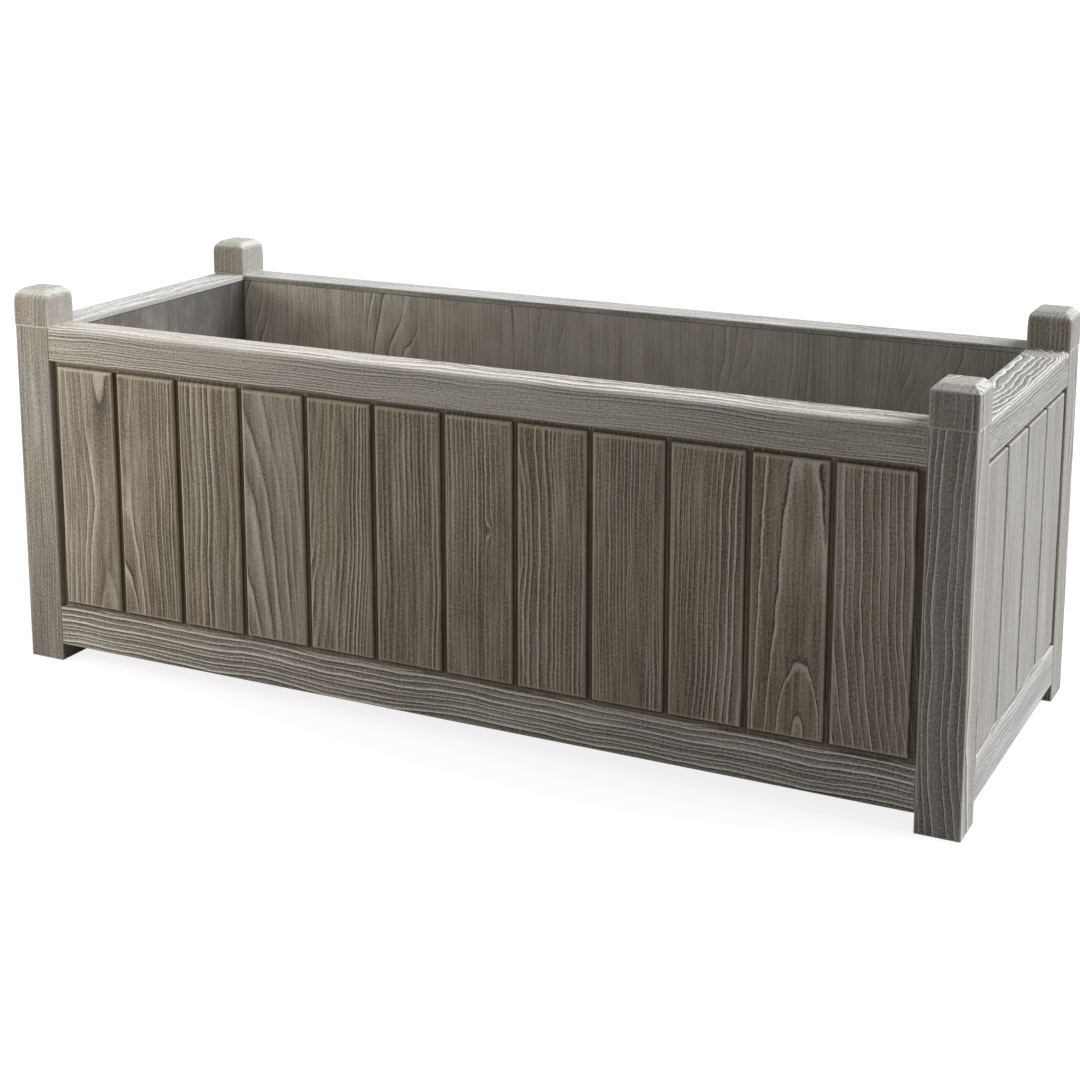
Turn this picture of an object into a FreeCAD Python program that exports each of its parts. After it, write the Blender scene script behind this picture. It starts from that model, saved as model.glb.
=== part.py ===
import FreeCAD, Part
import os
from types import SimpleNamespace

import Sketcher

# Rectangular wooden floor planter, in millimetres.
# Origin at the middle of the footprint on the ground, +X along the front, +Y to the back, +Z up.
# Four posts carry mortised rails. Tongue and groove boards stand in grooves between the rails,
# lining panels lie in rebates on the inside, and a planked floor rests on three bearers.

SIZES = {
    # whole planter
    "length": 1000,
    "depth": 390,
    "rim_height": 358,
    # posts
    "post_side": 42,
    "post_round": 2,
    "post_top_bevel": 1,
    "foot_round": 1.5,
    # caps on the posts
    "cap_height": 38,
    "cap_overhang": 0.6,
    "cap_bevel": 6.5,
    "cap_round": 1.5,
    # rails
    "foot_height": 18,
    "bottom_rail_height": 42,
    "top_rail_height": 35,
    "rail_setback": 1,
    "rim_round": 4,
    "rail_round": 1.5,
    "tenon_thickness": 12,
    "tenon_shoulder": 6,
    "tenon_nose_gap": 2,
    "mortise_extra_depth": 0.5,
    "joint_clearance": 0.2,
    # boards
    "board_setback": 1,
    "board_thickness": 16,
    "face_thickness": 5,
    "front_end_margin": 5,
    "side_end_margin": 2,
    "board_gap": 6,
    "shadow_gap": 5,
    "board_joint_gap": 0.3,
    "board_round": 1.5,
    "board_bevel": 2,
    "tongue_thickness": 4,
    "tongue_reach": 7,
    "groove_extra_depth": 1,
    # lining panels
    "lining_thickness": 6,
    "lining_lip": 6,
    "lining_ledge": 8,
    "lining_gap": 0.3,
    # floor
    "plank_thickness": 14,
    "plank_gap": 8,
    "plank_edge_gap": 1,
    "plank_round": 1.5,
    "bearer_width": 36,
    "bearer_height": 18,
    "bearer_shoulder": 4,
    "bearer_tenon": 8,
    "bearer_inset": 60,
    # dowels between posts and caps
    "dowel_diameter": 10,
    "dowel_length": 40,
    "dowel_clearance": 0.15,
    "dowel_nose_gap": 1,
    "dowel_bevel": 1,
    # countersunk screws between planks and bearers
    "screw_diameter": 4,
    "screw_head_diameter": 8,
    "screw_head_height": 2.4,
    "screw_length": 28,
    "screw_point": 5,
    "screw_recess_length": 3.8,
    "screw_recess_width": 0.9,
    "screw_recess_depth": 1.4,
    "screw_clearance": 0.1,
    "screw_nose_gap": 1,
    "screw_edge": 20,
    # how far a cut runs past the face that it opens
    "overrun": 3,
}
FRONT_BOARDS = 12
SIDE_BOARDS = 4
PLANKS = 3
BEARERS = 3
SCREW_ROWS = 2

doc = FreeCAD.newDocument("planter")
sheet = doc.addObject("Spreadsheet::Sheet", "Sizes")
for row, (alias, value) in enumerate(SIZES.items(), start=1):
    sheet.set(f"A{row}", alias)
    sheet.set(f"B{row}", str(value))
    sheet.setAlias(f"B{row}", alias)
doc.recompute()

# Each size by name, as the text that an expression uses for its cell.
s = SimpleNamespace(**{alias: f"Sizes.{alias}" for alias in SIZES})

# Places that several pieces share, worked out from the sizes.
front_opening = f"({s.length} - 2 * {s.post_side})"
side_opening = f"({s.depth} - 2 * {s.post_side})"
bottom_rail_top = f"({s.foot_height} + {s.bottom_rail_height})"
top_rail_base = f"({s.rim_height} - {s.top_rail_height})"
panel_height = f"({top_rail_base} - {bottom_rail_top})"
tenon_length = f"(({s.post_side} - {s.tenon_thickness}) / 2 - {s.tenon_nose_gap})"
face_plane = f"({s.rail_setback} + {s.board_setback})"
core_plane = f"({face_plane} + {s.face_thickness})"
core_thickness = f"({s.board_thickness} - {s.face_thickness})"
tongue_plane = f"({core_plane} + ({core_thickness} - {s.tongue_thickness}) / 2)"
groove_plane = f"({tongue_plane} - {s.joint_clearance})"
groove_width = f"({s.tongue_thickness} + 2 * {s.joint_clearance})"
groove_depth = f"({s.tongue_reach} + {s.groove_extra_depth})"
lining_plane = f"({s.post_side} - {s.lining_thickness})"
ledge_height = f"({bottom_rail_top} - {s.lining_ledge})"
bearer_top = f"({ledge_height} - {s.plank_thickness})"
bearer_run = f"({front_opening} - 2 * {s.bearer_inset})"
plank_width = (
    f"(({side_opening} - 2 * {s.plank_edge_gap} - {PLANKS - 1} * {s.plank_gap}) / {PLANKS})"
)
plank_pitch = f"({plank_width} + {s.plank_gap})"
screw_spread = f"({plank_width} - 2 * {s.screw_edge})"

# Each side of the planter: its turn, its run, its opening, and the world place of a point along it.
# Along a side, X runs to the right as seen from outside, Y goes inwards from the outer post faces.
SIDES = {
    "front": (0, s.length, front_opening, "{0}", f"-{s.depth} / 2"),
    "right": (90, s.depth, side_opening, f"{s.length} / 2", "{0}"),
    "back": (180, s.length, front_opening, "-({0})", f"{s.depth} / 2"),
    "left": (270, s.depth, side_opening, f"-{s.length} / 2", "-({0})"),
}
# Each corner: the turn of its post, and the signs of its place along X and Y.
CORNERS = {
    "front_left": (0, "-", "-"),
    "front_right": (90, "", "-"),
    "back_right": (180, "", ""),
    "back_left": (270, "-", ""),
}


def new_body(name):
    body = doc.addObject("PartDesign::Body", name)
    body.Label = name
    return body


def origin_plane(body, plane):
    return next(item for item in body.Origin.OriginFeatures if item.Role == f"{plane}_Plane")


def origin_axis(body, axis):
    return next(item for item in body.Origin.OriginFeatures if item.Role == f"{axis}_Axis")


def new_sketch(body, name, plane, corner):
    # The corner is given along the plane's two axes and then along its normal.
    sketch = body.newObject("Sketcher::SketchObject", name)
    sketch.AttachmentSupport = [(origin_plane(body, plane), "")]
    sketch.MapMode = "FlatFace"
    for axis, place in zip("xyz", corner):
        sketch.setExpression(f"AttachmentOffset.Base.{axis}", place)
    return sketch


def drive(sketch, name, expression):
    # Names the constraint that was added last and ties it to its size.
    sketch.renameConstraint(len(sketch.Constraints) - 1, name)
    sketch.setExpression(f"Constraints.{name}", expression)


def rectangle(body, name, plane, corner, width, height):
    sketch = new_sketch(body, name, plane, corner)
    points = [FreeCAD.Vector(x, y) for x, y in ((0, 0), (1, 0), (1, 1), (0, 1))]
    for start, end in zip(points, points[1:] + points[:1]):
        sketch.addGeometry(Part.LineSegment(start, end))
    for line in range(4):
        sketch.addConstraint(Sketcher.Constraint("Coincident", line, 2, (line + 1) % 4, 1))
        sketch.addConstraint(Sketcher.Constraint(("Horizontal", "Vertical")[line % 2], line))
    sketch.addConstraint(Sketcher.Constraint("Coincident", 0, 1, -1, 1))
    sketch.addConstraint(Sketcher.Constraint("DistanceX", 0, 1, 0, 2, 1))
    drive(sketch, "width", width)
    sketch.addConstraint(Sketcher.Constraint("DistanceY", 1, 1, 1, 2, 1))
    drive(sketch, "height", height)
    return sketch


def circle(body, name, plane, corner, diameter):
    sketch = new_sketch(body, name, plane, corner)
    sketch.addGeometry(Part.Circle(FreeCAD.Vector(0, 0), FreeCAD.Vector(0, 0, 1), 1))
    sketch.addConstraint(Sketcher.Constraint("Coincident", 0, 3, -1, 1))
    sketch.addConstraint(Sketcher.Constraint("Diameter", 0, 1))
    drive(sketch, "diameter", diameter)
    return sketch


def pad(body, name, sketch, length):
    feature = body.newObject("PartDesign::Pad", name)
    feature.Profile = sketch
    feature.setExpression("Length", length)
    return feature


def pocket(body, name, sketch, length):
    # Cuts along the sketch's normal, the way that a pad grows.
    feature = body.newObject("PartDesign::Pocket", name)
    feature.Profile = sketch
    feature.Reversed = True
    feature.setExpression("Length", length)
    return feature


def pattern(body, name, originals, axis, length, count):
    feature = body.newObject("PartDesign::LinearPattern", name)
    feature.Originals = originals
    feature.Direction = (origin_axis(body, axis), [""])
    feature.setExpression("Length", length)
    feature.Occurrences = count
    body.Tip = feature
    return feature


def grid(body, name, originals, runs):
    # Repeats the originals, or the whole body where there are none, along several axes.
    # Each run is an axis, a length and a count.
    doc.recompute([body.Tip])
    feature = body.newObject("PartDesign::MultiTransform", name)
    if originals:
        feature.Originals = originals
    else:
        feature.TransformMode = "Whole shape"
    steps = []
    for number, (axis, length, count) in enumerate(runs, start=1):
        step = body.newObject("PartDesign::LinearPattern", f"{name}_step_{number}")
        step.Direction = (origin_axis(body, axis), [""])
        step.setExpression("Length", length)
        step.Occurrences = count
        steps.append(step)
    feature.Transformations = steps
    body.Tip = feature
    return feature


def edges_at(feature, along, **sides):
    # Straight edges parallel to one axis that lie on the named sides of the feature's box.
    box = feature.Shape.BoundBox
    limits = {
        "x": {"low": box.XMin, "high": box.XMax},
        "y": {"low": box.YMin, "high": box.YMax},
        "z": {"low": box.ZMin, "high": box.ZMax},
    }
    names = []
    for number, edge in enumerate(feature.Shape.Edges, start=1):
        if not isinstance(edge.Curve, Part.Line):
            continue
        if abs(getattr(edge.Curve.Direction, along)) < 1 - Part.Precision.confusion():
            continue
        middle = edge.CenterOfMass
        if all(
            abs(getattr(middle, axis) - limits[axis][side]) < Part.Precision.approximation()
            for axis, side in sides.items()
        ):
            names.append(f"Edge{number}")
    return names


def ring_at(feature, side):
    # All edges that lie in the bottom or the top face of the feature.
    box = feature.Shape.BoundBox
    level = {"low": box.ZMin, "high": box.ZMax}[side]
    return [
        f"Edge{number}"
        for number, edge in enumerate(feature.Shape.Edges, start=1)
        if abs(edge.BoundBox.ZMin - level) < Part.Precision.approximation()
        and abs(edge.BoundBox.ZMax - level) < Part.Precision.approximation()
    ]


def rounded(body, name, base, names, radius):
    feature = body.newObject("PartDesign::Fillet", name)
    feature.Base = (base, names)
    feature.setExpression("Radius", radius)
    doc.recompute([feature])
    return feature


def bevelled(body, name, base, names, size):
    feature = body.newObject("PartDesign::Chamfer", name)
    feature.Base = (base, names)
    feature.setExpression("Size", size)
    doc.recompute([feature])
    return feature


def stand(body, side, along="0"):
    # Puts a body at a place along a side, measured from the side's middle.
    turn, _, _, across, inwards = SIDES[side]
    body.Placement = FreeCAD.Placement(
        FreeCAD.Vector(), FreeCAD.Rotation(FreeCAD.Vector(0, 0, 1), turn)
    )
    body.setExpression("Placement.Base.x", across.format(along))
    body.setExpression("Placement.Base.y", inwards.format(along))


def stand_in_corner(body, corner):
    turn, sign_x, sign_y = CORNERS[corner]
    body.Placement = FreeCAD.Placement(
        FreeCAD.Vector(), FreeCAD.Rotation(FreeCAD.Vector(0, 0, 1), turn)
    )
    body.setExpression("Placement.Base.x", f"{sign_x}({s.length} - {s.post_side}) / 2")
    body.setExpression("Placement.Base.y", f"{sign_y}({s.depth} - {s.post_side}) / 2")


# Corner posts. The outer faces look to -X and -Y, the rails and boards enter at +X and +Y.
def make_post(corner):
    body = new_body(f"post_{corner}")
    half = f"{s.post_side} / 2"
    outline = rectangle(
        body, "outline", "XY", (f"-{half}", f"-{half}", "0"), s.post_side, s.post_side
    )
    bar = pad(body, "bar", outline, s.rim_height)
    doc.recompute([bar])
    arrises = rounded(body, "arrises", bar, edges_at(bar, "z"), s.post_round)
    top = bevelled(body, "top_bevel", arrises, ring_at(arrises, "high"), s.post_top_bevel)
    rounded(body, "foot", top, ring_at(top, "low"), s.foot_round)
    # A slot is cut once for the side that meets +X and once for the side that meets +Y.
    slots = [
        (
            "groove",
            groove_depth,
            f"{groove_plane} - {half}",
            groove_width,
            bottom_rail_top,
            panel_height,
        )
    ]
    for name, base, height in (
        ("lower_mortise", s.foot_height, s.bottom_rail_height),
        ("upper_mortise", top_rail_base, s.top_rail_height),
    ):
        slots.append(
            (
                name,
                f"({tenon_length} + {s.mortise_extra_depth})",
                f"-{s.tenon_thickness} / 2 - {s.joint_clearance}",
                f"({s.tenon_thickness} + 2 * {s.joint_clearance})",
                f"{base} + {s.tenon_shoulder} - {s.joint_clearance}",
                f"{height} - 2 * {s.tenon_shoulder} + 2 * {s.joint_clearance}",
            )
        )
    for name, deep, place, width, base, height in slots:
        start = f"{half} - {deep}"
        run = f"{deep} + {s.overrun}"
        to_x = rectangle(body, f"{name}_x_outline", "XY", (start, place, base), run, width)
        pocket(body, f"{name}_x", to_x, height)
        to_y = rectangle(body, f"{name}_y_outline", "XY", (place, start, base), width, run)
        pocket(body, f"{name}_y", to_y, height)
    hole_depth = f"({s.dowel_length} / 2 + {s.dowel_nose_gap})"
    hole = circle(
        body,
        "dowel_hole_outline",
        "XY",
        ("0", "0", f"{s.rim_height} - {hole_depth}"),
        f"{s.dowel_diameter} + 2 * {s.dowel_clearance}",
    )
    pocket(body, "dowel_hole", hole, f"{hole_depth} + {s.overrun}")
    stand_in_corner(body, corner)
    return body


# Post caps: square blocks a hair wider than the posts, bevelled all round the top.
def make_cap(corner):
    body = new_body(f"cap_{corner}")
    side = f"({s.post_side} + 2 * {s.cap_overhang})"
    outline = rectangle(
        body, "outline", "XY", (f"-{side} / 2", f"-{side} / 2", s.rim_height), side, side
    )
    block = pad(body, "block", outline, s.cap_height)
    doc.recompute([block])
    bevel = bevelled(body, "bevel", block, ring_at(block, "high"), s.cap_bevel)
    below = ring_at(bevel, "low")
    upper = [f"Edge{n}" for n in range(1, len(bevel.Shape.Edges) + 1) if f"Edge{n}" not in below]
    rounded(body, "arrises", bevel, upper, s.cap_round)
    hole = circle(
        body,
        "dowel_hole_outline",
        "XY",
        ("0", "0", f"{s.rim_height} - {s.overrun}"),
        f"{s.dowel_diameter} + 2 * {s.dowel_clearance}",
    )
    pocket(
        body, "dowel_hole", hole, f"{s.overrun} + {s.dowel_length} / 2 + {s.dowel_nose_gap}"
    )
    stand_in_corner(body, corner)
    return body


# A rail between two posts, with a tenon at each end. Its outer face lies behind the post faces.
def make_rail(side, level, base, height):
    _, _, opening, _, _ = SIDES[side]
    body = new_body(f"{side}_{level}_rail")
    outline = rectangle(
        body,
        "outline",
        "YZ",
        (s.rail_setback, base, f"-{opening} / 2"),
        f"{s.post_side} - {s.rail_setback}",
        height,
    )
    bar = pad(body, "bar", outline, opening)
    doc.recompute([bar])
    outer_top = edges_at(bar, "x", y="low", z="high")
    inner_top = edges_at(bar, "x", y="high", z="high")
    outer_bottom = edges_at(bar, "x", y="low", z="low")
    if level == "top":
        rim = rounded(body, "rim", bar, outer_top, s.rim_round)
        small = edges_at(rim, "x", y="high", z="high") + edges_at(rim, "x", y="low", z="low")
        rounded(body, "arrises", rim, small, s.rail_round)
    else:
        rounded(body, "arrises", bar, outer_top + inner_top + outer_bottom, s.rail_round)
    tenon = rectangle(
        body,
        "tenon_outline",
        "YZ",
        (
            f"({s.post_side} - {s.tenon_thickness}) / 2",
            f"{base} + {s.tenon_shoulder}",
            f"-{opening} / 2 - {tenon_length}",
        ),
        s.tenon_thickness,
        f"{height} - 2 * {s.tenon_shoulder}",
    )
    pad(body, "tenons", tenon, f"{opening} + 2 * {tenon_length}")
    past = f"-{opening} / 2 - {s.overrun}"
    whole = f"{opening} + 2 * {s.overrun}"
    if level == "top":
        groove_base = f"{base} - {s.overrun}"
        rebate_base = groove_base
        rebate_height = f"{height} - {s.lining_lip} + {s.overrun}"
    else:
        groove_base = f"{base} + {height} - {groove_depth}"
        rebate_base = ledge_height
        rebate_height = f"{s.lining_ledge} + {s.overrun}"
    groove = rectangle(
        body,
        "groove_outline",
        "YZ",
        (groove_plane, groove_base, past),
        groove_width,
        f"{groove_depth} + {s.overrun}",
    )
    pocket(body, "groove", groove, whole)
    rebate = rectangle(
        body,
        "rebate_outline",
        "YZ",
        (lining_plane, rebate_base, past),
        f"{s.lining_thickness} + {s.overrun}",
        rebate_height,
    )
    pocket(body, "rebate", rebate, whole)
    if level == "bottom" and side in ("front", "back"):
        mortise = rectangle(
            body,
            "bearer_mortise_outline",
            "XY",
            (
                f"-{bearer_run} / 2 - {s.bearer_width} / 2 - {s.joint_clearance}",
                f"{s.post_side} - {s.bearer_tenon} - {s.mortise_extra_depth}",
                f"{bearer_top} - {s.bearer_height} + {s.bearer_shoulder} - {s.joint_clearance}",
            ),
            f"{s.bearer_width} + 2 * {s.joint_clearance}",
            f"{s.bearer_tenon} + {s.mortise_extra_depth} + {s.overrun}",
        )
        cut = pocket(
            body,
            "bearer_mortise",
            mortise,
            f"{s.bearer_height} - 2 * {s.bearer_shoulder} + 2 * {s.joint_clearance}",
        )
        pattern(body, "bearer_mortises", [cut], "X", bearer_run, BEARERS)
    stand(body, side)
    return body


# A board: a core that closes the panel, a face plate that leaves shadow grooves, and tongues.
# Its X starts at the left edge of its share of the panel.
def make_board(side, number, count, margin):
    _, _, opening, _, _ = SIDES[side]
    digits = len(str(count))
    body = new_body(f"{side}_board_{number:0{digits}d}")
    pitch = f"(({opening} - 2 * {margin}) / {count})"
    first = number == 1
    last = number == count
    left = f"({s.board_joint_gap} / 2)"
    right = f"({pitch} - {s.board_joint_gap} / 2)"
    if first:
        left = f"({s.board_joint_gap} - {margin})"
    if last:
        right = f"({pitch} + {margin} - {s.board_joint_gap})"
    core_height = f"({panel_height} - {s.board_joint_gap})"
    core = rectangle(
        body,
        "core_outline",
        "XY",
        (left, core_plane, bottom_rail_top),
        f"{right} - {left}",
        core_thickness,
    )
    pad(body, "core", core, core_height)
    face = rectangle(
        body,
        "face_outline",
        "XY",
        (f"{s.board_gap} / 2", face_plane, f"{bottom_rail_top} + {s.shadow_gap}"),
        f"{pitch} - {s.board_gap}",
        s.face_thickness,
    )
    plate = pad(body, "face", face, f"{panel_height} - 2 * {s.shadow_gap}")
    doc.recompute([plate])
    ends = bevelled(body, "end_bevels", plate, edges_at(plate, "x", y="low"), s.board_bevel)
    rounded(body, "arrises", ends, edges_at(ends, "z", y="low"), s.board_round)
    end_tongues = rectangle(
        body,
        "end_tongue_outline",
        "XY",
        (left, tongue_plane, f"{bottom_rail_top} - {s.tongue_reach}"),
        f"{right} - {left}",
        s.tongue_thickness,
    )
    long_run = f"{panel_height} + 2 * {s.tongue_reach}"
    pad(body, "end_tongues", end_tongues, long_run)
    # Where the last board meets a post, its tongue stops at the rails, as the post's groove does.
    right_tongue = rectangle(
        body,
        "right_tongue_outline",
        "XY",
        (right, tongue_plane, bottom_rail_top if last else f"{bottom_rail_top} - {s.tongue_reach}"),
        s.tongue_reach,
        s.tongue_thickness,
    )
    pad(body, "right_tongue", right_tongue, core_height if last else long_run)
    if first:
        left_tongue = rectangle(
            body,
            "left_tongue_outline",
            "XY",
            (f"{left} - {s.tongue_reach}", tongue_plane, bottom_rail_top),
            s.tongue_reach,
            s.tongue_thickness,
        )
        pad(body, "left_tongue", left_tongue, core_height)
    else:
        groove = rectangle(
            body,
            "groove_outline",
            "XY",
            (
                f"{left} - {s.overrun}",
                groove_plane,
                f"{bottom_rail_top} - {s.tongue_reach} - {s.overrun}",
            ),
            f"{s.overrun} + {groove_depth}",
            groove_width,
        )
        pocket(body, "groove", groove, f"{long_run} + 2 * {s.overrun}")
    stand(body, side, f"({margin} - {opening} / 2 + {number - 1} * {pitch})")
    return body


# A lining panel, flush with the rails on the inside. It stands on the ledge of the bottom rail.
def make_lining(side):
    _, _, opening, _, _ = SIDES[side]
    body = new_body(f"{side}_lining")
    outline = rectangle(
        body,
        "outline",
        "XY",
        (f"-{opening} / 2 + {s.lining_gap}", lining_plane, ledge_height),
        f"{opening} - 2 * {s.lining_gap}",
        s.lining_thickness,
    )
    pad(
        body,
        "panel",
        outline,
        f"{s.rim_height} - {s.lining_lip} - {ledge_height} - {s.lining_gap}",
    )
    stand(body, side)
    return body


# A bearer across the planter, with a tenon into the front and the back bottom rail.
def make_bearer(number):
    body = new_body(f"floor_bearer_{number}")
    outline = rectangle(
        body,
        "outline",
        "XY",
        (f"-{s.bearer_width} / 2", f"-{side_opening} / 2", f"{bearer_top} - {s.bearer_height}"),
        s.bearer_width,
        side_opening,
    )
    pad(body, "bar", outline, s.bearer_height)
    tenon = rectangle(
        body,
        "tenon_outline",
        "XY",
        (
            f"-{s.bearer_width} / 2",
            f"-{side_opening} / 2 - {s.bearer_tenon}",
            f"{bearer_top} - {s.bearer_height} + {s.bearer_shoulder}",
        ),
        s.bearer_width,
        f"{side_opening} + 2 * {s.bearer_tenon}",
    )
    pad(body, "tenons", tenon, f"{s.bearer_height} - 2 * {s.bearer_shoulder}")
    hole_depth = f"({s.screw_length} - {s.plank_thickness} + {s.screw_nose_gap})"
    hole = circle(
        body,
        "screw_hole_outline",
        "XY",
        (
            "0",
            f"-{plank_pitch} * {PLANKS - 1} / 2 - {screw_spread} / 2",
            f"{bearer_top} - {hole_depth}",
        ),
        f"{s.screw_diameter} + 2 * {s.screw_clearance}",
    )
    drilled = pocket(body, "screw_hole", hole, f"{hole_depth} + {s.overrun}")
    grid(
        body,
        "screw_holes",
        [drilled],
        (
            ("Y", screw_spread, SCREW_ROWS),
            ("Y", f"{plank_pitch} * {PLANKS - 1}", PLANKS),
        ),
    )
    body.setExpression(
        "Placement.Base.x", f"{bearer_run} * ({number - 1} / {BEARERS - 1} - 1 / 2)"
    )
    return body


def cone(body, kind, name, corner, bottom_radius, top_radius, height):
    feature = body.newObject(f"PartDesign::{kind}Cone", name)
    feature.AttachmentSupport = [(origin_plane(body, "XY"), "")]
    feature.MapMode = "FlatFace"
    for axis, place in zip("xyz", corner):
        feature.setExpression(f"AttachmentOffset.Base.{axis}", place)
    feature.setExpression("Radius1", bottom_radius)
    feature.setExpression("Radius2", top_radius)
    feature.setExpression("Height", height)
    return feature


# A floor plank along the planter, screwed to every bearer.
def make_plank(number):
    body = new_body(f"floor_plank_{number}")
    outline = rectangle(
        body,
        "outline",
        "XY",
        (
            f"-{front_opening} / 2 + {s.plank_edge_gap}",
            f"-{plank_width} / 2",
            bearer_top,
        ),
        f"{front_opening} - 2 * {s.plank_edge_gap}",
        plank_width,
    )
    board = pad(body, "board", outline, s.plank_thickness)
    doc.recompute([board])
    upper = edges_at(board, "x", z="high")
    rounded(body, "arrises", board, upper, s.plank_round)
    place = (f"-{bearer_run} / 2", f"-{screw_spread} / 2")
    shank = circle(
        body,
        "screw_hole_outline",
        "XY",
        (*place, f"{bearer_top} - {s.overrun}"),
        f"{s.screw_diameter} + 2 * {s.screw_clearance}",
    )
    drilled = pocket(body, "screw_hole", shank, f"{s.plank_thickness} + 2 * {s.overrun}")
    sink = cone(
        body,
        "Subtractive",
        "countersink",
        (*place, f"{ledge_height} - {s.screw_head_height}"),
        f"{s.screw_diameter} / 2 + {s.screw_clearance}",
        f"{s.screw_head_diameter} / 2 + {s.screw_clearance}",
        s.screw_head_height,
    )
    grid(
        body,
        "screw_holes",
        [drilled, sink],
        (("X", bearer_run, BEARERS), ("Y", screw_spread, SCREW_ROWS)),
    )
    body.setExpression("Placement.Base.y", f"{plank_pitch} * ({number} - ({PLANKS} + 1) / 2)")
    return body


# The four dowels that pin the caps to the posts.
def make_dowels():
    body = new_body("cap_dowels")
    to_post_x = f"({s.length} - {s.post_side})"
    to_post_y = f"({s.depth} - {s.post_side})"
    outline = circle(
        body,
        "outline",
        "XY",
        (
            f"-{to_post_x} / 2",
            f"-{to_post_y} / 2",
            f"{s.rim_height} - {s.dowel_length} / 2",
        ),
        s.dowel_diameter,
    )
    pin = pad(body, "pin", outline, s.dowel_length)
    doc.recompute([pin])
    ends = ring_at(pin, "low") + ring_at(pin, "high")
    bevelled(body, "ends", pin, ends, s.dowel_bevel)
    grid(body, "pins", [], (("X", to_post_x, 2), ("Y", to_post_y, 2)))
    return body


# The countersunk screws of the floor, with a crossed recess in each head.
def make_screws():
    body = new_body("floor_screws")
    place = (
        f"-{bearer_run} / 2",
        f"-{plank_pitch} * {PLANKS - 1} / 2 - {screw_spread} / 2",
    )
    point_top = f"({ledge_height} - {s.screw_length} + {s.screw_point})"
    outline = circle(body, "outline", "XY", (*place, point_top), s.screw_diameter)
    pad(body, "shank", outline, f"{s.screw_length} - {s.screw_point}")
    cone(
        body,
        "Additive",
        "head",
        (*place, f"{ledge_height} - {s.screw_head_height}"),
        f"{s.screw_diameter} / 2",
        f"{s.screw_head_diameter} / 2",
        s.screw_head_height,
    )
    cone(
        body,
        "Additive",
        "point",
        (*place, f"{ledge_height} - {s.screw_length}"),
        "0",
        f"{s.screw_diameter} / 2",
        s.screw_point,
    )
    for name, across, along in (
        ("recess_x", s.screw_recess_length, s.screw_recess_width),
        ("recess_y", s.screw_recess_width, s.screw_recess_length),
    ):
        slot = rectangle(
            body,
            f"{name}_outline",
            "XY",
            (
                f"{place[0]} - {across} / 2",
                f"{place[1]} - {along} / 2",
                f"{ledge_height} - {s.screw_recess_depth}",
            ),
            across,
            along,
        )
        pocket(body, name, slot, f"{s.screw_recess_depth} + {s.overrun}")
    grid(
        body,
        "screws",
        [],
        (
            ("X", bearer_run, BEARERS),
            ("Y", screw_spread, SCREW_ROWS),
            ("Y", f"{plank_pitch} * {PLANKS - 1}", PLANKS),
        ),
    )
    return body


pieces = [make_post(corner) for corner in CORNERS]
pieces += [make_cap(corner) for corner in CORNERS]
for side in SIDES:
    count, margin = FRONT_BOARDS, s.front_end_margin
    if side in ("left", "right"):
        count, margin = SIDE_BOARDS, s.side_end_margin
    pieces.append(make_rail(side, "top", top_rail_base, s.top_rail_height))
    pieces.append(make_rail(side, "bottom", s.foot_height, s.bottom_rail_height))
    pieces += [make_board(side, number, count, margin) for number in range(1, count + 1)]
    pieces.append(make_lining(side))
pieces += [make_bearer(number) for number in range(1, BEARERS + 1)]
pieces += [make_plank(number) for number in range(1, PLANKS + 1)]
pieces += [make_dowels(), make_screws()]
doc.recompute()

for item in doc.Objects:
    if "Invalid" in item.State or "Error" in item.State:
        raise RuntimeError(f"{item.Label} in {item.getParentGroup()} failed: {item.State}")
    if item.TypeId == "PartDesign::Pocket":
        if item.Shape.Volume >= item.BaseFeature.Shape.Volume:
            raise RuntimeError(f"{item.Name} cuts nothing")
for piece in pieces:
    if piece.Shape.isNull() or not piece.Shape.isValid():
        raise RuntimeError(f"{piece.Label} has no valid shape")

os.makedirs("parts", exist_ok=True)
for piece in pieces:
    piece.Shape.exportStep(f"parts/{piece.Label}.step")
print(len(pieces), "pieces,", sum(len(piece.Shape.Solids) for piece in pieces), "solids")
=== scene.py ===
import math
import bmesh
import bpy
import numpy as np
from mathutils import Matrix, Vector


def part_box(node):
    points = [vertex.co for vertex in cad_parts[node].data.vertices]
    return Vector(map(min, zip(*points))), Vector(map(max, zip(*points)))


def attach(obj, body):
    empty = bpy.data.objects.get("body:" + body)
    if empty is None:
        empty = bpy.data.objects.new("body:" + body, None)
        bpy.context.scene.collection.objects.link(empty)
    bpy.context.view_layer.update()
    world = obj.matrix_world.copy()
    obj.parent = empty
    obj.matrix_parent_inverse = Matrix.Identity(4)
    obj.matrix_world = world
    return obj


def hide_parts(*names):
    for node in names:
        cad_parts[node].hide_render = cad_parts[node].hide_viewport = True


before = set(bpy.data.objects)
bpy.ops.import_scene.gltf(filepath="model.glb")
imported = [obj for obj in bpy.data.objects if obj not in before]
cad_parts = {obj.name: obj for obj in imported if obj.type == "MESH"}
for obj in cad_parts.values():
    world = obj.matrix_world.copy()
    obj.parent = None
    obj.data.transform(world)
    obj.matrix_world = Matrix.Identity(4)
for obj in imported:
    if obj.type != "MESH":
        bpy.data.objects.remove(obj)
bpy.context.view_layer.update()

# A long floor planter of weathered, brushed softwood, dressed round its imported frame, in metres.
# Every timber piece is drawn as a bar along its own grain, then one node tree grows the rings in it,
# wears the soft wood back between them and leaves the ring number on the surface for the finish.

scene = bpy.context.scene


# Node graphs

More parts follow.
